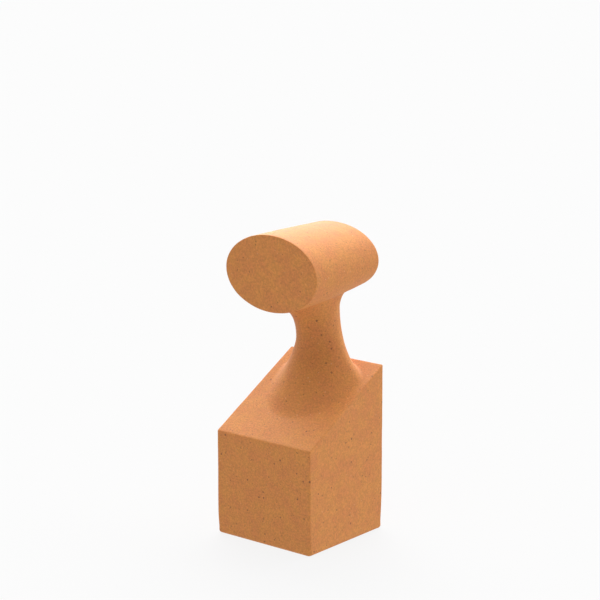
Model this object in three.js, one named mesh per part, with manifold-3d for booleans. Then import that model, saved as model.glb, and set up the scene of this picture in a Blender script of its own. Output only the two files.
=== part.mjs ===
// Ceramic muse: a small bust in speckled stoneware, made in one piece.
// A square block with a sloping top is the shoulders. A round neck flares out of it near
// the back edge, and flares again under the head, a lying drum of oval section.
// Millimetres, +Z up. The head looks to -Y, and the origin is the middle of the underside.

import * as THREE from 'three';
import { mergeVertices } from 'three/addons/utils/BufferGeometryUtils.js';
import Module from 'manifold-3d';

// Block
const BLOCK_WIDTH = 77.5;
const BLOCK_DEPTH = 75.8;
const BLOCK_FRONT_HEIGHT = 69.3;
const BLOCK_BACK_HEIGHT = 111.0;
const BLOCK_TOP_CORNER = 1.3;       // round where the faces meet, seen from the side
const BLOCK_BOTTOM_CORNER = 2.0;
const BLOCK_EDGE = 0.9;             // round on the rims of the two side faces

// Head: an oval drum along Y that is a little slimmer at the back
const HEAD_SETBACK = 8.3;           // from the block's front face to the head's front face
const HEAD_LENGTH = 66.4;
const HEAD_FRONT = { halfWidth: 37.3, top: 200.9, underside: 151.0 };
const HEAD_BACK = { halfWidth: 35.7, top: 200.3, underside: 156.9 };
const HEAD_TOP_BOW = 0.3;           // the crown rises this much half-way along
const HEAD_UNDERSIDE_BOW = 1.4;     // and the underside hangs this much
const HEAD_FRONT_EDGE = 0.8;        // round on the front rim
const HEAD_BACK_EDGE = 1.6;         // softer round on the back rim

// Neck: its waist is a leaning ring, low in front and high behind
const NECK_SETBACK = 58.3;          // from the block's front face to the neck's axis
const WAIST_RADIUS = 14.3;
const WAIST_FORWARD = 2.3;          // the waist and all above it stand this far forward
const WAIST_HEIGHT = 137.1;
const WAIST_LEAN = 16.1;            // height gained from the middle of the waist to its back
const FOOT = { side: 33.1, front: 38.4, back: 15.8 };    // reach of the lower flare
const THROAT = { side: 20.4, front: 38.1, back: 15.3 };  // reach of the upper flare
const FOOT_PULL = 0.28;             // how long each flare runs along what it grows from
const THROAT_PULL = 0.51;
const WAIST_PULL_DOWN = 0.45;       // how long each flare stays upright at the waist
const WAIST_PULL_UP = 0.53;
const FLARE_SINK = 0.2;             // the flares end this far inside the block and the head

// Fineness of the facets
const OVAL_SIDES = 72;
const NECK_SIDES = 64;
const FLARE_STEPS = 12;
const HEAD_STEPS = 8;
const ROUND_STEPS = 3;

const FRONT = -BLOCK_DEPTH / 2;
const HEAD_START = FRONT + HEAD_SETBACK;
const NECK_AXIS = FRONT + NECK_SETBACK;
const WAIST_AXIS = NECK_AXIS - WAIST_FORWARD;

// Height of the block's sloping top at a depth y.
function slopeHeight(y) {
  const rise = BLOCK_BACK_HEIGHT - BLOCK_FRONT_HEIGHT;
  return BLOCK_FRONT_HEIGHT + rise * (y - FRONT) / BLOCK_DEPTH;
}

// The head's oval section at a depth y.
function headSection(y) {
  const along = THREE.MathUtils.clamp((y - HEAD_START) / HEAD_LENGTH, 0, 1);
  const bow = 4 * along * (1 - along);
  return {
    halfWidth: THREE.MathUtils.lerp(HEAD_FRONT.halfWidth, HEAD_BACK.halfWidth, along),
    top: THREE.MathUtils.lerp(HEAD_FRONT.top, HEAD_BACK.top, along) + bow * HEAD_TOP_BOW,
    underside: THREE.MathUtils.lerp(HEAD_FRONT.underside, HEAD_BACK.underside, along)
      - bow * HEAD_UNDERSIDE_BOW,
  };
}

// Height of the head's lower surface over a point of the plan.
function undersideHeight(x, y) {
  const { halfWidth, top, underside } = headSection(y);
  const middle = (top + underside) / 2;
  return middle - (top - underside) / 2 * Math.sqrt(1 - (x / halfWidth) ** 2);
}

// Closed body through rings of equally many points, with a flat end on the first and the
// last. The rings turn anticlockwise, seen from the end that they run towards.
function loft(rings) {
  const sides = rings[0].length;
  const points = rings.flat();
  const index = [];
  for (let ring = 0; ring + 1 < rings.length; ring++) {
    for (let side = 0; side < sides; side++) {
      const here = ring * sides + side;
      const next = ring * sides + (side + 1) % sides;
      index.push(here, next, next + sides, here, next + sides, here + sides);
    }
  }
  const lastRing = (rings.length - 1) * sides;
  for (const [start, flip] of [[0, true], [lastRing, false]]) {
    const centre = points.length;
    const middle = new THREE.Vector3();
    for (let side = 0; side < sides; side++) middle.add(points[start + side]);
    points.push(middle.divideScalar(sides));
    for (let side = 0; side < sides; side++) {
      const here = start + side;
      const next = start + (side + 1) % sides;
      index.push(centre, flip ? next : here, flip ? here : next);
    }
  }
  const geometry = new THREE.BufferGeometry().setFromPoints(points);
  geometry.setIndex(index);
  return geometry;
}

// Block: its side view, with round corners, drawn across the width between rounded rims.
function blockGeometry() {
  const corners = [
    new THREE.Vector2(FRONT, 0),
    new THREE.Vector2(-FRONT, 0),
    new THREE.Vector2(-FRONT, BLOCK_BACK_HEIGHT),
    new THREE.Vector2(FRONT, BLOCK_FRONT_HEIGHT),
  ];
  const rounds = [BLOCK_BOTTOM_CORNER, BLOCK_BOTTOM_CORNER, BLOCK_TOP_CORNER, BLOCK_TOP_CORNER];
  const outward = corners.map((corner, i) => {
    const edge = corners[(i + 1) % 4].clone().sub(corner).normalize();
    return new THREE.Vector2(edge.y, -edge.x);
  });
  const sideView = new THREE.Shape();
  corners.forEach((corner, i) => {
    const before = outward[(i + 3) % 4];
    const after = outward[i];
    const inward = before.clone().add(after).multiplyScalar(-rounds[i] / (1 + before.dot(after)));
    const centre = corner.clone().add(inward);
    const turn = Math.acos(before.dot(after));
    sideView.absarc(centre.x, centre.y, rounds[i], before.angle(), before.angle() + turn, false);
  });
  sideView.closePath();
  const geometry = new THREE.ExtrudeGeometry(sideView, {
    depth: BLOCK_WIDTH - 2 * BLOCK_EDGE,
    bevelThickness: BLOCK_EDGE,
    bevelSize: BLOCK_EDGE,
    bevelOffset: -BLOCK_EDGE,
    bevelSegments: ROUND_STEPS,
    curveSegments: ROUND_STEPS,
  });
  geometry.translate(0, 0, BLOCK_EDGE - BLOCK_WIDTH / 2);
  // the side view's x and y become Y and Z, and it is drawn out along X
  const [x, y, z] = [new THREE.Vector3(1, 0, 0), new THREE.Vector3(0, 1, 0), new THREE.Vector3(0, 0, 1)];
  return geometry.applyMatrix4(new THREE.Matrix4().makeBasis(y, z, x));
}

// Head: oval rings from the front rim to the back rim, drawn in at both for the rounds.
function headGeometry() {
  const stations = [];
  for (let i = 0; i <= ROUND_STEPS; i++) {
    const turn = i / ROUND_STEPS * Math.PI / 2;
    stations.push({
      y: HEAD_START + HEAD_FRONT_EDGE * (1 - Math.cos(turn)),
      inset: HEAD_FRONT_EDGE * (1 - Math.sin(turn)),
    });
  }
  const bodyStart = HEAD_START + HEAD_FRONT_EDGE;
  const bodyEnd = HEAD_START + HEAD_LENGTH - HEAD_BACK_EDGE;
  for (let i = 1; i < HEAD_STEPS; i++) {
    stations.push({ y: THREE.MathUtils.lerp(bodyStart, bodyEnd, i / HEAD_STEPS), inset: 0 });
  }
  for (let i = 0; i <= ROUND_STEPS; i++) {
    const turn = i / ROUND_STEPS * Math.PI / 2;
    stations.push({
      y: bodyEnd + HEAD_BACK_EDGE * Math.sin(turn),
      inset: HEAD_BACK_EDGE * (1 - Math.cos(turn)),
    });
  }
  return loft(stations.map(({ y, inset }) => {
    const { halfWidth, top, underside } = headSection(y);
    const middle = (top + underside) / 2;
    const halfHeight = (top - underside) / 2;
    return Array.from({ length: OVAL_SIDES }, (_, i) => {
      const turn = i / OVAL_SIDES * 2 * Math.PI;
      return new THREE.Vector3(
        (halfWidth - inset) * Math.sin(turn), y, middle + (halfHeight - inset) * Math.cos(turn));
    });
  }));
}

// Reach of a flare in one direction: half an ellipse in front and another behind.
function reach(flare, across, back) {
  const lengthways = back < 0 ? flare.front : flare.back;
  return 1 / Math.hypot(across / flare.side, back / lengthways);
}

// Neck: in each direction, one curve runs from the slope up into the upright waist, and one
// from the waist out along the underside of the head.
function neckGeometry() {
  const profiles = Array.from({ length: NECK_SIDES }, (_, i) => {
    const turn = i / NECK_SIDES * 2 * Math.PI;
    const across = Math.cos(turn);
    const back = Math.sin(turn);
    const waist = new THREE.Vector3(
      WAIST_RADIUS * across, WAIST_AXIS + WAIST_RADIUS * back, WAIST_HEIGHT + WAIST_LEAN * back);

    const footReach = reach(FOOT, across, back);
    const foot = new THREE.Vector3(footReach * across, NECK_AXIS + footReach * back, 0);
    foot.z = slopeHeight(foot.y);
    const underWaist = waist.clone().setZ(slopeHeight(waist.y));
    const lower = new THREE.CubicBezierCurve3(
      foot.clone().setZ(foot.z - FLARE_SINK),
      foot.clone().lerp(underWaist, FOOT_PULL),
      waist.clone().lerp(underWaist, WAIST_PULL_DOWN),
      waist);

    const throatReach = reach(THROAT, across, back);
    const throat = new THREE.Vector3(throatReach * across, WAIST_AXIS + throatReach * back, 0);
    throat.z = undersideHeight(throat.x, throat.y);
    const overWaist = waist.clone().setZ(undersideHeight(waist.x, waist.y));
    const upper = new THREE.CubicBezierCurve3(
      waist,
      waist.clone().lerp(overWaist, WAIST_PULL_UP),
      throat.clone().lerp(overWaist, THROAT_PULL),
      throat.clone().setZ(throat.z + FLARE_SINK));
    return [...lower.getPoints(FLARE_STEPS), ...upper.getPoints(FLARE_STEPS).slice(1)];
  });
  return loft(profiles[0].map((_, level) => profiles.map((profile) => profile[level])));
}

const wasm = await Module();
wasm.setup();

function toSolid(geometry) {
  const bare = geometry.clone();
  bare.deleteAttribute('normal');
  bare.deleteAttribute('uv');
  const welded = mergeVertices(bare);
  return new wasm.Manifold(new wasm.Mesh({
    numProp: 3,
    vertProperties: new Float32Array(welded.attributes.position.array),
    triVerts: new Uint32Array(welded.index.array),
  }));
}

function toGeometry(solid) {
  const { vertProperties, triVerts } = solid.getMesh();
  const geometry = new THREE.BufferGeometry();
  geometry.setAttribute('position', new THREE.BufferAttribute(vertProperties, 3));
  geometry.setIndex(new THREE.BufferAttribute(triVerts, 1));
  geometry.computeVertexNormals();
  return geometry;
}

function museSculpture() {
  const solid = [neckGeometry(), headGeometry()].map(toSolid)
    .reduce((whole, form) => whole.add(form), toSolid(blockGeometry()));
  const stoneware = new THREE.MeshStandardMaterial({ color: 0xc98d54, roughness: 0.92, metalness: 0 });
  const mesh = new THREE.Mesh(toGeometry(solid), stoneware);
  mesh.name = 'muse_sculpture';
  return mesh;
}

const group = new THREE.Group();
group.add(museSculpture());

export default group;
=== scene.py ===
"""Ceramic muse: a small speckled stoneware bust, set on a pale table in soft light.

The bust is one closed mesh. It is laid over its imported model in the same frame: metres,
+Z up, the head looking to -Y, and the origin in the middle of the underside.
"""

import math

import bmesh
import bpy
import numpy as np
from bpy.props import (
    FloatProperty,
    FloatVectorProperty,
    PointerProperty,
)
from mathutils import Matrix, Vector
from mathutils.geometry import delaunay_2d_cdt


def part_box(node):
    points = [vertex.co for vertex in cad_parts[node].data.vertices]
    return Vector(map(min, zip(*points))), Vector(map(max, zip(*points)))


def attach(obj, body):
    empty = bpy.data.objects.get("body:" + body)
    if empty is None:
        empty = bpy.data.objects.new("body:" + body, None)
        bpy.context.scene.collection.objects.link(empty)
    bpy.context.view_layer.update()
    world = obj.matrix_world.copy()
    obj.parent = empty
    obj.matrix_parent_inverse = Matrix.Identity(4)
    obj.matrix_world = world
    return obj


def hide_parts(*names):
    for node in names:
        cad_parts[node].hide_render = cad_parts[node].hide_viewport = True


bl_info = {
    "name": "Ceramic Muse",
    "version": (1, 0, 0),
    "blender": (4, 5, 0),
    "location": "3D View > Sidebar > Muse",
    "description": "Builds a speckled stoneware bust and the table and light it stands in",
    "category": "Object",
}

CAD_NODE = "muse_sculpture"
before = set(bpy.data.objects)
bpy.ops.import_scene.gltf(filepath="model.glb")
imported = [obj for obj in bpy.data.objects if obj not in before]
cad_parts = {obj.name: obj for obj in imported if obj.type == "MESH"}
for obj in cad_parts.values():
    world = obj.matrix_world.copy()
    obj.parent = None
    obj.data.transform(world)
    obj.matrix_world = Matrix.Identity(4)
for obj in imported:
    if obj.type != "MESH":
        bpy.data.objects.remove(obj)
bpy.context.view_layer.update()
NODE_LOW, NODE_HIGH = (Vector(corner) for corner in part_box(CAD_NODE))
NODE_SIZE = NODE_HIGH - NODE_LOW

MM = 0.001
PHOTO_PIXELS = 600
SENSOR_MM = 36.0


# ---------------------------------------------------------------- settings


def length(name, description, default_mm, **more):
    """A length setting whose default is written in millimetres."""
    return FloatProperty(
        name=name,
        description=description,
        default=default_mm * MM,
        unit="LENGTH",
        precision=4,
        **more,
    )


def share(name, description, default, **more):
    """A setting between nothing and all of something."""
    return FloatProperty(
        name=name,
        description=description,
        default=default,
        min=0.0,
        max=1.0,
        subtype="FACTOR",
        **more,
    )


def colour(name, description, default):
    """A colour setting, in linear light."""
    return FloatVectorProperty(
        name=name,
        description=description,
        default=default,
        size=3,
        min=0.0,
        max=1.0,
        subtype="COLOR",
    )


class MuseBlock(bpy.types.PropertyGroup):
    """The square block with the sloping top."""

    width: length("Width", "Width of the block", NODE_SIZE.x / MM)
    depth: length("Depth", "Depth of the block from front to back", NODE_SIZE.y / MM)
    front_height: length("Front height", "Height of the low edge in front", 69.3)
    back_height: length("Back height", "Height of the high edge behind", 111.0)
    rim_round: length("Rim round", "Round of the rim of the sloping top", 1.0)
    upright_round: length("Upright round", "Round of the four upright edges", 1.4)
    foot_round: length("Foot round", "Round of the edges that the block stands on", 2.2)
    foot_softening: length("Foot softening", "Extra round of the upright edges at the foot", 1.4)


class MuseHead(bpy.types.PropertyGroup):
    """The lying oval drum. It is a little slimmer at the back."""

    setback: length("Setback", "From the block's front to the head's front", 8.3)
    length: length("Length", "Length of the head from front to back", 66.4)
    front_half_width: length("Front half width", "Half the width of the front oval", 37.3)
    front_top: length("Front top", "Height of the front oval's top", 200.9)
    front_underside: length("Front underside", "Height of the front oval's lowest point", 151.0)
    back_half_width: length("Back half width", "Half the width of the back oval", 35.7)
    back_top: length("Back top", "Height of the back oval's top", 200.3)
    back_underside: length("Back underside", "Height of the back oval's lowest point", 156.9)
    top_bow: length("Top bow", "How much the crown rises half-way along", 0.3)
    underside_bow: length("Underside bow", "How much the underside hangs half-way along", 1.4)
    front_round: length("Front round", "Round of the front rim", 0.9)
    back_round: length("Back round", "Softer round of the back rim", 1.7)


class MuseNeck(bpy.types.PropertyGroup):
    """The flared neck. Its waist is a leaning ring, low in front and high behind."""

    setback: length("Setback", "From the block's front to the neck's axis", 58.3)
    waist_radius: length("Waist radius", "Radius of the narrowest ring", 14.3)
    waist_forward: length("Waist forward", "How far the waist stands in front of the foot", 2.3)
    waist_height: length("Waist height", "Height of the middle of the waist", 137.1)
    waist_lean: length("Waist lean", "Height gained from the waist's middle to its back", 16.1)
    foot_side: length("Foot side", "Reach of the lower flare to the sides", 33.1)
    foot_front: length("Foot front", "Reach of the lower flare to the front", 38.4)
    foot_back: length("Foot back", "Reach of the lower flare to the back", 15.8)
    throat_side: length("Throat side", "Reach of the upper flare to the sides", 20.4)
    throat_front: length("Throat front", "Reach of the upper flare to the front", 38.1)
    throat_back: length("Throat back", "Reach of the upper flare to the back", 15.3)
    foot_pull: share("Foot pull", "How long the lower flare runs along the slope", 0.28)
    throat_pull: share("Throat pull", "How long the upper flare runs along the head", 0.51)
    waist_pull_down: share("Waist pull down", "How long it stays upright below the waist", 0.45)
    waist_pull_up: share("Waist pull up", "How long it stays upright above the waist", 0.53)


class MuseSurface(bpy.types.PropertyGroup):
    """The fineness of the mesh and the unevenness that hands leave in clay."""

    spacing: length("Spacing", "Distance between the points of the mesh", 1.1)
    broad_depth: length("Broad depth", "Depth of the broad, soft dents", 0.34)
    broad_size: length("Broad size", "Size of the broad dents", 21.0)
    fine_depth: length("Fine depth", "Depth of the small unevenness", 0.11)
    fine_size: length("Fine size", "Size of the small unevenness", 5.0)
    shelf_clearance: length("Shelf clearance", "The foot stays true up to this height", 4.0)


class MuseClay(bpy.types.PropertyGroup):
    """The fired clay's colours, specks and grain."""

    body: colour("Body", "Ochre of the fired clay", (0.635, 0.250, 0.056))
    warm: colour("Warm", "Redder clouds in the ochre", (0.615, 0.219, 0.058))
    dark_speck: colour("Dark speck", "Iron specks", (0.12, 0.045, 0.022))
    pale_speck: colour("Pale speck", "Pale grit", (0.80, 0.52, 0.27))
    roughness: share("Roughness", "Roughness of the matt surface", 0.72)
    cloud_size: length("Cloud size", "Size of the colour clouds", 9.0)
    speck_size: length("Speck size", "Diameter of the large dark specks", 1.9)
    speck_spacing: length("Speck spacing", "Distance between the large dark specks", 4.6)
    grain_size: length("Grain size", "Size of the sandy grain", 1.15)
    grain_depth: length("Grain depth", "Depth of the sandy grain", 0.12)


class MuseStage(bpy.types.PropertyGroup):
    """Table, light and camera."""

    floor: colour("Floor", "Colour of the table", (0.06, 0.06, 0.06))
    floor_size: FloatProperty(
        name="Floor size", description="Width of the table", default=24.0, unit="LENGTH"
    )
    floor_glow: FloatProperty(
        name="Floor glow", description="Light that comes up through the table", default=0.86, min=0.0
    )
    backdrop: FloatProperty(
        name="Backdrop", description="Brightness of the plain backdrop", default=0.97, min=0.0
    )
    light: FloatProperty(
        name="Light", description="Strength of all the soft lights", default=0.9, min=0.0
    )
    azimuth: FloatProperty(
        name="Azimuth",
        description="Camera's angle round the bust, from the front to its left hand",
        default=math.radians(39.35),
        unit="ROTATION",
    )
    elevation: FloatProperty(
        name="Elevation",
        description="Camera's angle above the horizon",
        default=math.radians(12.9),
        unit="ROTATION",
    )
    distance: length("Distance", "From the camera to the point it aims at", 1359.0)
    aim: FloatVectorProperty(
        name="Aim",
        description="Point that the camera aims at",
        default=(-0.01111, 0.01335, 0.15023),
        size=3,
        subtype="TRANSLATION",
    )
    lens: FloatProperty(
        name="Lens", description="Focal length in millimetres", default=126.12, min=1.0
    )


class MuseSettings(bpy.types.PropertyGroup):
    """All settings of the bust and its stage."""

    block: PointerProperty(type=MuseBlock)
    head: PointerProperty(type=MuseHead)
    neck: PointerProperty(type=MuseNeck)
    surface: PointerProperty(type=MuseSurface)
    clay: PointerProperty(type=MuseClay)
    stage: PointerProperty(type=MuseStage)


# ---------------------------------------------------------------- shape


def lerp(a, b, share):
    return a + (b - a) * share


def bezier(p0, p1, p2, p3, t):
    """Point of a cubic curve at t, for whole rings of curves at once."""
    s = 1 - t
    return s**3 * p0 + 3 * s * s * t * p1 + 3 * s * t * t * p2 + t**3 * p3


def rounded_rectangle(half_width, half_depth, radius, side_steps, corner_steps):
    """Anticlockwise ring of a rectangle with round corners, from the middle of no side."""
    starts, ends = [], []
    for sx, sy, first in ((1, -1, -90), (1, 1, 0), (-1, 1, 90), (-1, -1, 180)):
        centre = np.array((sx * (half_width - radius), sy * (half_depth - radius)))
        turn = np.radians(first + 90 * np.arange(corner_steps + 1) / corner_steps)
        arc = centre + radius * np.stack((np.cos(turn), np.sin(turn)), axis=1)
        starts.append(arc)
        ends.append(arc[-1])
    ring = []
    for i, arc in enumerate(starts):
        ring.extend(arc)
        following = starts[(i + 1) % 4][0]
        for step in range(1, side_steps):
            ring.append(lerp(ends[i], following, step / side_steps))
    return np.array(ring)


class MuseShape:
    """The bust's surfaces, worked out from the settings."""

    CORNER_STEPS = 6
    ROUND_STEPS = 5
    LOWER_FLARE_ROWS = 46
    UPPER_FLARE_ROWS = 40

    def __init__(self, settings):
        self.block = settings.block
        self.head = settings.head
        self.neck = settings.neck
        self.spacing = settings.surface.spacing
        self.front = -self.block.depth / 2
        self.head_start = self.front + self.head.setback
        self.head_end = self.head_start + self.head.length
        self.neck_axis = self.front + self.neck.setback
        self.waist_axis = self.neck_axis - self.neck.waist_forward

    # surfaces

    def slope_height(self, y):
        """Height of the block's sloping top at a depth y."""
        along = (y - self.front) / self.block.depth
        return lerp(self.block.front_height, self.block.back_height, along)

    def head_section(self, y):
        """Half width, top and underside of the head's oval at a depth y."""
        head = self.head
        along = np.clip((y - self.head_start) / head.length, 0, 1)
        bow = 4 * along * (1 - along)
        return (
            lerp(head.front_half_width, head.back_half_width, along),
            lerp(head.front_top, head.back_top, along) + bow * head.top_bow,
            lerp(head.front_underside, head.back_underside, along) - bow * head.underside_bow,
        )

    def head_point(self, turn, y, inset=0.0):
        """Point of the head's skin. turn is 0 at the lowest line and goes up past +X."""
        half_width, top, underside = self.head_section(y)
        half_height = (top - underside) / 2
        return np.stack(
            np.broadcast_arrays(
                (half_width - inset) * np.sin(turn),
                y,
                (top + underside) / 2 - (half_height - inset) * np.cos(turn),
            ),
            axis=-1,
        )

    # block

    def block_rings(self):
        """Rings from the flat underside, up the walls and over the rim of the slope."""
        block = self.block
        side_steps = round(block.width / self.spacing)

        def plan(inset, radius):
            return rounded_rectangle(
                block.width / 2 - inset,
                block.depth / 2 - inset,
                radius,
                side_steps,
                self.CORNER_STEPS,
            )

        rings = []
        foot_corner = block.upright_round + block.foot_softening
        for step in range(self.ROUND_STEPS + 1):
            turn = step / self.ROUND_STEPS * math.pi / 2
            inset = block.foot_round * (1 - math.sin(turn))
            ring = plan(inset, foot_corner - inset)
            height = np.full(len(ring), block.foot_round * (1 - math.cos(turn)))
            rings.append(np.column_stack((ring, height)))
        rows = round((block.front_height + block.back_height) / 2 / self.spacing)
        for row in range(1, rows):
            up = row / rows
            softening = block.foot_softening * math.exp(-((up / 0.12) ** 2))
            ring = plan(0.0, block.upright_round + softening)
            top = self.slope_height(ring[:, 1]) - block.rim_round
            rings.append(np.column_stack((ring, lerp(block.foot_round, top, up))))
        for step in range(self.ROUND_STEPS + 1):
            turn = step / self.ROUND_STEPS * math.pi / 2
            inset = block.rim_round * (1 - math.cos(turn))
            ring = plan(inset, block.upright_round - inset)
            drop = block.rim_round * (1 - math.sin(turn))
            rings.append(np.column_stack((ring, self.slope_height(ring[:, 1]) - drop)))
        return rings

    # neck

    def reach(self, front, side, back, direction):
        """Reach of a flare: half an ellipse in front and another behind."""
        lengthways = np.where(direction[:, 1] < 0, front, back)
        return 1 / np.hypot(direction[:, 0] / side, direction[:, 1] / lengthways)

    def neck_rings(self, rim):
        """Rings from the slope up to the waist and out along the underside of the head."""
        neck = self.neck
        direction = rim[:, :2] - (0, self.neck_axis)
        direction /= np.linalg.norm(direction, axis=1, keepdims=True)
        waist = np.column_stack(
            (
                direction * neck.waist_radius + (0, self.waist_axis),
                neck.waist_height + neck.waist_lean * direction[:, 1],
            )
        )

        foot_reach = self.reach(neck.foot_front, neck.foot_side, neck.foot_back, direction)
        foot_plan = direction * foot_reach[:, None] + (0, self.neck_axis)
        foot = np.column_stack((foot_plan, self.slope_height(foot_plan[:, 1])))
        under_waist = waist.copy()
        under_waist[:, 2] = self.slope_height(waist[:, 1])
        along_slope = lerp(foot, under_waist, neck.foot_pull)
        below_waist = lerp(waist, under_waist, neck.waist_pull_down)

        throat_reach = self.reach(
            neck.throat_front, neck.throat_side, neck.throat_back, direction
        )
        throat_plan = direction * throat_reach[:, None] + (0, self.waist_axis)
        throat = self.under_head(throat_plan)
        over_waist = self.under_head(waist[:, :2])
        along_head = lerp(throat, over_waist, neck.throat_pull)
        # the curve leaves the head in the plane that touches it there
        nudge = 0.05
        beside = self.under_head(lerp(throat_plan, waist[:, :2], nudge))
        along_head[:, 2] = throat[:, 2] + (beside[:, 2] - throat[:, 2]) * neck.throat_pull / nudge
        above_waist = lerp(waist, over_waist, neck.waist_pull_up)

        rings = [
            bezier(foot, along_slope, below_waist, waist, row / self.LOWER_FLARE_ROWS)
            for row in range(self.LOWER_FLARE_ROWS)
        ]
        rings += [
            bezier(waist, above_waist, along_head, throat, row / self.UPPER_FLARE_ROWS)
            for row in range(self.UPPER_FLARE_ROWS + 1)
        ]
        return rings

    def under_head(self, plan):
        """Points of the head's underside over points of the plan."""
        half_width, _, _ = self.head_section(plan[:, 1])
        return self.head_point(np.arcsin(plan[:, 0] / half_width), plan[:, 1])

    # head

    def head_steps(self):
        half_width, top, underside = self.head_section((self.head_start + self.head_end) / 2)
        around = math.pi * (half_width + (top - underside) / 2)
        return 2 * round(around / self.spacing / 2)

    def rim_rings(self, start, end, radius):
        """Rings round an oval rim, from the head's side at start to its face at end."""
        steps = self.head_steps()
        turns = np.arange(steps) / steps * 2 * math.pi - math.pi
        rings = []
        for step in range(self.ROUND_STEPS + 1):
            turn = step / self.ROUND_STEPS * math.pi / 2
            y = lerp(start, end, math.sin(turn))
            rings.append(self.head_point(turns, np.full(steps, y), radius * (1 - math.cos(turn))))
        return rings


# ---------------------------------------------------------------- mesh


class MeshParts:
    """Gathers patches of points and faces, and sews them into one closed mesh."""

    SEAM = 1e-6

    def __init__(self):
        self.points = []
        self.faces = []

    def add(self, points, faces):
        first = len(self.points)
        self.points.extend(points)
        self.faces.extend([[first + corner for corner in face] for face in faces])

    def add_band(self, rings, flip=False):
        """Quads between closed rings of equally many points."""
        count = len(rings[0])
        faces = []
        for row in range(len(rings) - 1):
            for i in range(count):
                here, following = row * count + i, row * count + (i + 1) % count
                face = [here, following, following + count, here + count]
                faces.append(face[::-1] if flip else face)
        self.add(np.concatenate(rings), faces)

    def add_sheet(self, outline, spacing, place, hole=None, flip=False):
        """Even grid inside an outline, and outside a hole, in a flat chart of the surface.

        place turns points of the chart into points in space.
        """
        grid = inner_grid(outline, hole, spacing)
        loops = [outline] if hole is None else [outline, hole]
        edges, first = [], 0
        for loop in loops:
            count = len(loop)
            edges += [(first + i, first + (i + 1) % count) for i in range(count)]
            first += count
        chart = np.concatenate([*loops, grid])
        found, _, faces, *_ = delaunay_2d_cdt(
            [Vector(point) for point in chart], edges, [], 0, self.SEAM
        )
        found = np.array(found)
        middles = np.array([found[face].mean(axis=0) for face in faces])
        keep = inside(middles, outline)
        if hole is not None:
            keep &= ~inside(middles, hole)
        kept = [face[::-1] if flip else face for face, wanted in zip(faces, keep) if wanted]
        self.add(place(found), kept)

    def to_object(self, name):
        mesh = bpy.data.meshes.new(name)
        mesh.from_pydata([tuple(point) for point in self.points], [], self.faces)
        work = bmesh.new()
        work.from_mesh(mesh)
        bmesh.ops.remove_doubles(work, verts=work.verts, dist=2 * self.SEAM)
        bmesh.ops.join_triangles(
            work,
            faces=[face for face in work.faces if len(face.verts) == 3],
            angle_face_threshold=math.radians(8),
            angle_shape_threshold=math.radians(30),
        )
        bmesh.ops.recalc_face_normals(work, faces=work.faces)
        open_edges = sum(not edge.is_manifold for edge in work.edges)
        if open_edges:
            raise RuntimeError(f"{name} has {open_edges} open or doubled edges")
        work.to_mesh(mesh)
        work.free()
        mesh.shade_smooth()
        piece = bpy.data.objects.new(name, mesh)
        bpy.context.scene.collection.objects.link(piece)
        return piece


def inside(points, loop):
    """Which points lie inside a closed loop, by the crossings to their right."""
    result = np.zeros(len(points), dtype=bool)
    for (x0, y0), (x1, y1) in zip(loop, np.roll(loop, -1, axis=0)):
        if y0 == y1:
            continue
        straddles = (points[:, 1] < y0) != (points[:, 1] < y1)
        crossing = x0 + (points[:, 1] - y0) * (x1 - x0) / (y1 - y0)
        result ^= straddles & (points[:, 0] < crossing)
    return result


def inner_grid(outline, hole, spacing):
    """Grid points inside the outline that keep clear of it and of the hole."""
    low, high = outline.min(axis=0), outline.max(axis=0)
    counts = np.maximum(np.round((high - low) / spacing).astype(int), 2)
    axes = [np.linspace(low[i], high[i], counts[i] + 1)[1:-1] for i in (0, 1)]
    grid = np.stack(np.meshgrid(*axes), axis=-1).reshape(-1, 2)
    keep = inside(grid, outline)
    if hole is not None:
        keep &= ~inside(grid, hole)
    grid = grid[keep]
    for loop in [outline] if hole is None else [outline, hole]:
        grid = grid[distance_to_loop(grid, loop) > 0.6 * spacing]
    return grid


def distance_to_loop(points, loop):
    """Distance of each point from the nearest side of a closed loop."""
    nearest = np.full(len(points), np.inf)
    for a, b in zip(loop, np.roll(loop, -1, axis=0)):
        along = b - a
        length_squared = max(along @ along, 1e-18)
        t = np.clip((points - a) @ along / length_squared, 0, 1)
        nearest = np.minimum(nearest, np.linalg.norm(points - a - t[:, None] * along, axis=1))
    return nearest


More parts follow.
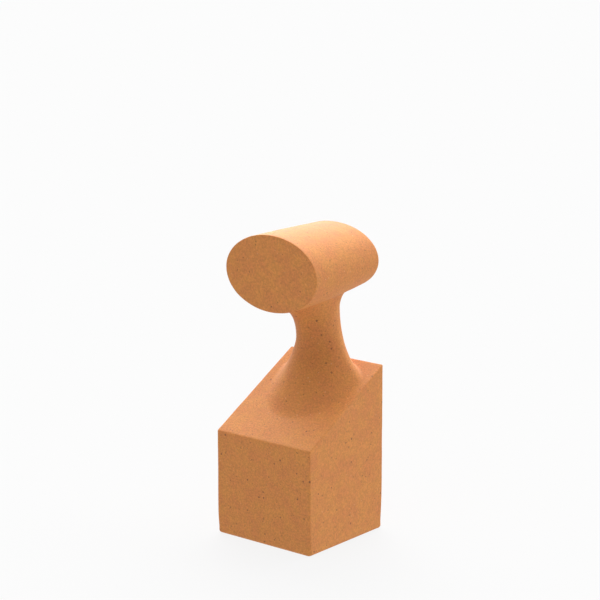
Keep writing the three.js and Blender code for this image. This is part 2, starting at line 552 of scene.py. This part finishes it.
def build_muse(settings):
    """Block, neck and head as one closed mesh."""
    shape = MuseShape(settings)
    spacing = shape.spacing
    parts = MeshParts()

    block = shape.block_rings()
    neck = shape.neck_rings(block[-1])
    parts.add_band(block)
    parts.add_band(neck)
    parts.add_sheet(
        block[0][:, :2],
        2 * spacing,
        lambda plan: np.column_stack((plan, np.zeros(len(plan)))),
        flip=True,
    )
    parts.add_sheet(
        block[-1][:, :2],
        spacing,
        lambda plan: np.column_stack((plan, shape.slope_height(plan[:, 1]))),
        hole=neck[0][:, :2],
    )

    # the head's side, rolled out flat: across is the turn round it, up is its depth
    side_start = shape.head_start + shape.head.front_round
    side_end = shape.head_end - shape.head.back_round
    steps = shape.head_steps()
    roll = spacing * steps / (2 * math.pi)
    turns = np.arange(steps + 1) / steps * 2 * math.pi - math.pi
    rows = round((side_end - side_start) / spacing)
    depths = np.linspace(side_start, side_end, rows + 1)
    outline = np.concatenate(
        (
            np.column_stack((turns * roll, np.full(steps + 1, side_start))),
            np.column_stack((np.full(rows - 1, math.pi * roll), depths[1:-1])),
            np.column_stack((turns[::-1] * roll, np.full(steps + 1, side_end))),
            np.column_stack((np.full(rows - 1, -math.pi * roll), depths[-2:0:-1])),
        )
    )
    throat = neck[-1]
    half_width, _, _ = shape.head_section(throat[:, 1])
    parts.add_sheet(
        outline,
        spacing,
        lambda chart: shape.head_point(chart[:, 0] / roll, chart[:, 1]),
        hole=np.column_stack((np.arcsin(throat[:, 0] / half_width) * roll, throat[:, 1])),
    )
    for start, end, radius in (
        (side_start, shape.head_start, shape.head.front_round),
        (side_end, shape.head_end, shape.head.back_round),
    ):
        rim = shape.rim_rings(start, end, radius)
        parts.add_band(rim)
        parts.add_sheet(
            rim[-1][:, [0, 2]],
            spacing,
            lambda chart, end=end: np.column_stack(
                (chart[:, 0], np.full(len(chart), end), chart[:, 1])
            ),
        )
    return parts.to_object("ceramic_muse")


def add_unevenness(piece, surface):
    """Soft dents in the clay, cut inwards only, with the foot left true."""
    free = piece.vertex_groups.new(name="free_of_the_shelf")
    heights = np.empty(len(piece.data.vertices) * 3)
    piece.data.vertices.foreach_get("co", heights)
    heights = heights[2::3]
    weights = np.clip(heights / surface.shelf_clearance, 0, 1)
    for index, weight in enumerate(weights):
        free.add([index], weight, "REPLACE")
    for name, size, depth in (
        ("broad_dents", surface.broad_size, surface.broad_depth),
        ("fine_dents", surface.fine_size, surface.fine_depth),
    ):
        clouds = bpy.data.textures.new(name, "CLOUDS")
        clouds.noise_scale = size
        clouds.noise_depth = 1
        clouds.noise_basis = "IMPROVED_PERLIN"
        dents = piece.modifiers.new(name, "DISPLACE")
        dents.texture = clouds
        dents.texture_coords = "LOCAL"
        dents.direction = "NORMAL"
        dents.strength = depth
        dents.mid_level = 1.0
        dents.vertex_group = free.name


# ---------------------------------------------------------------- clay


class NodeSheet:
    """Adds nodes to a tree and wires them, in columns from left to right."""

    COLUMN = 190
    ROW = 210

    def __init__(self, tree):
        self.tree = tree
        self.places = {}

    def add(self, kind, column, values=None, **settings):
        node = self.tree.nodes.new(kind)
        row = self.places.get(column, 0)
        self.places[column] = row + 1
        node.location = (column * self.COLUMN, -row * self.ROW)
        for name, value in settings.items():
            setattr(node, name, value)
        for socket, value in (values or {}).items():
            if isinstance(value, bpy.types.NodeSocket):
                self.tree.links.new(value, node.inputs[socket])
            else:
                node.inputs[socket].default_value = value
        return node

    def math(self, column, operation, *values, clamp=False):
        node = self.add(
            "ShaderNodeMath", column, dict(enumerate(values)), operation=operation, use_clamp=clamp
        )
        return node.outputs["Value"]

    def mix(self, column, factor, a, b):
        node = self.add("ShaderNodeMix", column, data_type="RGBA", clamp_factor=True)
        for socket, value in ((node.inputs[0], factor), (node.inputs[6], a), (node.inputs[7], b)):
            if isinstance(value, bpy.types.NodeSocket):
                self.tree.links.new(value, socket)
            else:
                socket.default_value = value
        return node.outputs[2]


def new_group(name, inputs, outputs):
    """Shader node group with named sockets, each given as (kind, name, default)."""
    group = bpy.data.node_groups.new(name, "ShaderNodeTree")
    for direction, sockets in (("INPUT", inputs), ("OUTPUT", outputs)):
        for kind, label, default in sockets:
            socket = group.interface.new_socket(
                name=label, in_out=direction, socket_type=f"NodeSocket{kind}"
            )
            if default is not None:
                socket.default_value = default
    sheet = NodeSheet(group)
    source = sheet.add("NodeGroupInput", 0)
    return group, sheet, source.outputs


def rgba(colour):
    return (*colour, 1.0)


def speck_group():
    """Specks of one kind: grains in the clay, cut through by its surface."""
    group, sheet, given = new_group(
        "Clay Specks",
        (
            ("Vector", "Place", None),
            ("Float", "Spacing", 5.0),
            ("Float", "Size", 1.0),
            ("Float", "Share", 0.5),
            ("Float", "Raggedness", 0.3),
        ),
        (("Float", "Mask", None),),
    )
    ragged = sheet.add(
        "ShaderNodeTexNoise", 1, {"Vector": given["Place"], "Scale": 1.6, "Detail": 1.0}
    )
    centred = sheet.add(
        "ShaderNodeVectorMath", 2, {0: ragged.outputs["Color"], 1: (0.5, 0.5, 0.5)},
        operation="SUBTRACT",
    )
    shift = sheet.add(
        "ShaderNodeVectorMath", 3, {0: centred.outputs[0], "Scale": given["Raggedness"]},
        operation="SCALE",
    )
    moved = sheet.add("ShaderNodeVectorMath", 4, {0: given["Place"], 1: shift.outputs[0]})
    pitch = sheet.math(4, "DIVIDE", 1.0, given["Spacing"])
    cells = sheet.add(
        "ShaderNodeTexVoronoi", 5, {"Vector": moved.outputs[0], "Scale": pitch, "Randomness": 1.0}
    )
    chance = sheet.add("ShaderNodeSeparateColor", 6, {"Color": cells.outputs["Color"]})
    chosen = sheet.math(7, "LESS_THAN", chance.outputs["Red"], given["Share"])
    distance = sheet.math(6, "MULTIPLY", cells.outputs["Distance"], given["Spacing"])
    radius = sheet.math(
        7, "MULTIPLY_ADD", chance.outputs["Green"], 0.32, 0.18
    )
    radius = sheet.math(8, "MULTIPLY", radius, given["Size"])
    core = sheet.math(9, "MULTIPLY", radius, 0.5)
    spot = sheet.add(
        "ShaderNodeMapRange", 10,
        {"Value": distance, "From Min": radius, "From Max": core, "To Min": 0.0, "To Max": 1.0},
        interpolation_type="SMOOTHSTEP",
    )
    strength = sheet.math(8, "MULTIPLY_ADD", chance.outputs["Blue"], 0.5, 0.5)
    mask = sheet.math(11, "MULTIPLY", spot.outputs["Result"], chosen)
    mask = sheet.math(12, "MULTIPLY", mask, strength)
    sheet.add("NodeGroupOutput", 13, {"Mask": mask})
    return group


def cloud_group():
    """Soft colour clouds and the fine sandy grain, both as values round a half."""
    group, sheet, given = new_group(
        "Clay Clouds",
        (
            ("Vector", "Place", None),
            ("Float", "Cloud Size", 9.0),
            ("Float", "Grain Size", 0.8),
        ),
        (("Float", "Clouds", None), ("Float", "Grain", None)),
    )
    cloud_pitch = sheet.math(1, "DIVIDE", 1.0, given["Cloud Size"])
    grain_pitch = sheet.math(1, "DIVIDE", 1.0, given["Grain Size"])
    clouds = sheet.add(
        "ShaderNodeTexNoise", 2,
        {"Vector": given["Place"], "Scale": cloud_pitch, "Detail": 3.0, "Roughness": 0.55},
    )
    grain = sheet.add(
        "ShaderNodeTexNoise", 2,
        {"Vector": given["Place"], "Scale": grain_pitch, "Detail": 2.0, "Roughness": 0.6},
    )
    sheet.add(
        "NodeGroupOutput", 3, {"Clouds": clouds.outputs["Fac"], "Grain": grain.outputs["Fac"]}
    )
    return group


def clay_material(clay):
    """Matt speckled ochre stoneware."""
    material = bpy.data.materials.new("Speckled Stoneware")
    material.use_nodes = True
    material.node_tree.nodes.clear()
    sheet = NodeSheet(material.node_tree)
    specks, clouds = speck_group(), cloud_group()
    where = sheet.add("ShaderNodeTexCoord", 0)
    place = sheet.add(
        "ShaderNodeVectorMath", 1, {0: where.outputs["Object"], "Scale": 1 / MM}, operation="SCALE"
    ).outputs[0]

    base = sheet.add(
        "ShaderNodeGroup", 2, node_tree=clouds,
    )
    sheet.tree.links.new(place, base.inputs["Place"])
    base.inputs["Cloud Size"].default_value = clay.cloud_size / MM
    base.inputs["Grain Size"].default_value = clay.grain_size / MM

    masks = []
    for name, spacing, size, part, ragged in (
        ("large dark", clay.speck_spacing / MM, clay.speck_size / MM, 0.45, 0.5),
        ("small dark", clay.speck_spacing / MM * 0.5, clay.speck_size / MM * 0.62, 0.6, 0.3),
        ("pale", clay.speck_spacing / MM * 0.6, clay.speck_size / MM * 0.6, 0.4, 0.3),
    ):
        group = sheet.add("ShaderNodeGroup", 2, node_tree=specks, label=name)
        sheet.tree.links.new(place, group.inputs["Place"])
        group.inputs["Spacing"].default_value = spacing
        group.inputs["Size"].default_value = size
        group.inputs["Share"].default_value = part
        group.inputs["Raggedness"].default_value = ragged
        masks.append(group.outputs["Mask"])
    large, small, pale = masks

    cloud = sheet.add(
        "ShaderNodeMapRange", 3,
        {"Value": base.outputs["Clouds"], "From Min": 0.35, "From Max": 0.65},
    ).outputs["Result"]
    tone = sheet.mix(4, cloud, rgba(clay.body), rgba(clay.warm))
    shade = sheet.add(
        "ShaderNodeMapRange", 3,
        {"Value": base.outputs["Grain"], "From Min": 0.3, "From Max": 0.7,
         "To Min": 0.83, "To Max": 1.15},
    ).outputs["Result"]
    grained = sheet.add(
        "ShaderNodeVectorMath", 5, {0: tone, "Scale": shade}, operation="SCALE"
    ).outputs[0]
    colour_out = sheet.mix(6, sheet.math(5, "MULTIPLY", pale, 0.5), grained, rgba(clay.pale_speck))
    colour_out = sheet.mix(7, sheet.math(6, "MULTIPLY", small, 0.6), colour_out, rgba(clay.dark_speck))
    colour_out = sheet.mix(8, sheet.math(7, "MULTIPLY", large, 0.85), colour_out, rgba(clay.dark_speck))

    rough = sheet.math(6, "MULTIPLY_ADD", base.outputs["Grain"], 0.1, clay.roughness - 0.05)
    height = sheet.math(6, "MULTIPLY_ADD", large, -0.6, base.outputs["Grain"])
    bump = sheet.add(
        "ShaderNodeBump", 7, {"Height": height, "Distance": clay.grain_depth, "Strength": 1.0}
    )
    surface = sheet.add(
        "ShaderNodeBsdfPrincipled", 9,
        {"Base Color": colour_out, "Roughness": rough, "Normal": bump.outputs["Normal"]},
    )
    surface.inputs["Specular IOR Level"].default_value = 0.5
    sheet.add("ShaderNodeOutputMaterial", 10, {"Surface": surface.outputs["BSDF"]})
    return material


class MUSE_OT_sculpture(bpy.types.Operator):
    """Build the stoneware bust in place of its plain solid"""

    bl_idname = "muse.sculpture"
    bl_label = "Sculpture"

    def execute(self, context):
        settings = context.scene.muse
        piece = build_muse(settings)
        add_unevenness(piece, settings.surface)
        piece.data.materials.append(clay_material(settings.clay))
        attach(piece, "root")
        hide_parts(CAD_NODE)
        return {"FINISHED"}


# ---------------------------------------------------------------- stage

# each soft light: azimuth from the front, elevation, strength
SOFT_LIGHTS = (
    (225, 30, 7.63),
    (225, 50, 2.46),
    (180, 30, 1.92),
    (180, 50, 2.04),
    (135, 10, 3.35),
    (270, 10, 0.51),
    (315, 50, 0.84),
    (0, 50, 1.19),
    (45, 70, 2.06),
)
LIGHT_TIGHTNESS = 10


def away(azimuth, elevation):
    """Unit vector towards that direction. Azimuth 0 is the front, and 90 is +X."""
    return Vector(
        (
            math.sin(azimuth) * math.cos(elevation),
            -math.cos(azimuth) * math.cos(elevation),
            math.sin(elevation),
        )
    )


def link(name, data, location, towards):
    thing = bpy.data.objects.new(name, data)
    thing.location = location
    thing.rotation_euler = (towards - Vector(location)).to_track_quat("-Z", "Y").to_euler()
    bpy.context.scene.collection.objects.link(thing)
    return thing


def add_floor(stage):
    half = stage.floor_size / 2
    mesh = bpy.data.meshes.new("table")
    corners = [(-half, -half, 0), (half, -half, 0), (half, half, 0), (-half, half, 0)]
    mesh.from_pydata(corners, [], [(0, 1, 2, 3)])
    floor = bpy.data.objects.new("table", mesh)
    bpy.context.scene.collection.objects.link(floor)
    material = bpy.data.materials.new("Pale Table")
    material.use_nodes = True
    surface = material.node_tree.nodes["Principled BSDF"]
    surface.inputs["Base Color"].default_value = rgba(stage.floor)
    surface.inputs["Roughness"].default_value = 0.9
    surface.inputs["Specular IOR Level"].default_value = 0.0
    surface.inputs["Emission Color"].default_value = (1, 1, 1, 1)
    surface.inputs["Emission Strength"].default_value = stage.floor_glow
    mesh.materials.append(material)


def add_lights(stage):
    """A tent of soft lights round the bust. The camera sees a plain backdrop behind them."""
    world = bpy.data.worlds.new("Soft Light")
    world.use_nodes = True
    world.node_tree.nodes.clear()
    sheet = NodeSheet(world.node_tree)
    direction = sheet.add("ShaderNodeTexCoord", 0).outputs["Generated"]
    total = 0.0
    for column, (azimuth, elevation, strength) in enumerate(SOFT_LIGHTS):
        towards = away(math.radians(azimuth), math.radians(elevation))
        facing = sheet.add(
            "ShaderNodeVectorMath", 1, {0: direction, 1: towards}, operation="DOT_PRODUCT"
        )
        facing = sheet.math(2, "MAXIMUM", facing.outputs["Value"], 0.0)
        glow = sheet.math(3, "POWER", facing, LIGHT_TIGHTNESS)
        total = sheet.math(4 + column, "MULTIPLY_ADD", glow, strength * stage.light, total)
    column = 4 + len(SOFT_LIGHTS)
    seen = sheet.add("ShaderNodeLightPath", column - 1).outputs["Is Camera Ray"]
    light = sheet.add("ShaderNodeBackground", column, {"Strength": total})
    backdrop = sheet.add("ShaderNodeBackground", column, {"Strength": stage.backdrop})
    shown = sheet.add(
        "ShaderNodeMixShader", column + 1,
        {0: seen, 1: light.outputs[0], 2: backdrop.outputs[0]},
    )
    for node in (light, backdrop):
        node.inputs["Color"].default_value = (1, 1, 1, 1)
    sheet.add("ShaderNodeOutputWorld", column + 2, {"Surface": shown.outputs[0]})
    bpy.context.scene.world = world


def add_camera(stage):
    camera = bpy.data.cameras.new("camera")
    camera.lens = stage.lens
    camera.sensor_width = SENSOR_MM
    camera.clip_start, camera.clip_end = 0.05, 50.0
    aim = Vector(stage.aim)
    where = aim + away(stage.azimuth, stage.elevation) * stage.distance
    bpy.context.scene.camera = link("camera", camera, where, aim)


class MUSE_OT_stage(bpy.types.Operator):
    """Set the table, the soft light and the camera"""

    bl_idname = "muse.stage"
    bl_label = "Table, Light and Camera"

    def execute(self, context):
        stage = context.scene.muse.stage
        add_floor(stage)
        add_lights(stage)
        add_camera(stage)
        context.scene.view_settings.view_transform = "Standard"
        return {"FINISHED"}


# ---------------------------------------------------------------- add-on


class MUSE_PT_sidebar(bpy.types.Panel):
    """Settings and buttons in the 3D view's sidebar"""

    bl_label = "Ceramic Muse"
    bl_idname = "MUSE_PT_sidebar"
    bl_space_type = "VIEW_3D"
    bl_region_type = "UI"
    bl_category = "Muse"

    def draw(self, context):
        settings = context.scene.muse
        for operator, groups in (
            (MUSE_OT_sculpture, ("block", "head", "neck", "surface", "clay")),
            (MUSE_OT_stage, ("stage",)),
        ):
            for name in groups:
                group = getattr(settings, name)
                box = self.layout.box()
                box.label(text=name.capitalize())
                for setting in group.bl_rna.properties:
                    if setting.identifier not in {"rna_type", "name"}:
                        box.prop(group, setting.identifier)
            self.layout.operator(operator.bl_idname)


CLASSES = (
    MuseBlock,
    MuseHead,
    MuseNeck,
    MuseSurface,
    MuseClay,
    MuseStage,
    MuseSettings,
    MUSE_OT_sculpture,
    MUSE_OT_stage,
    MUSE_PT_sidebar,
)


def register():
    for cls in CLASSES:
        bpy.utils.register_class(cls)
    bpy.types.Scene.muse = PointerProperty(type=MuseSettings)


def unregister():
    del bpy.types.Scene.muse
    for cls in reversed(CLASSES):
        bpy.utils.unregister_class(cls)


def main():
    register()
    bpy.ops.muse.sculpture()
    bpy.ops.muse.stage()


if __name__ == "__main__":
    main()
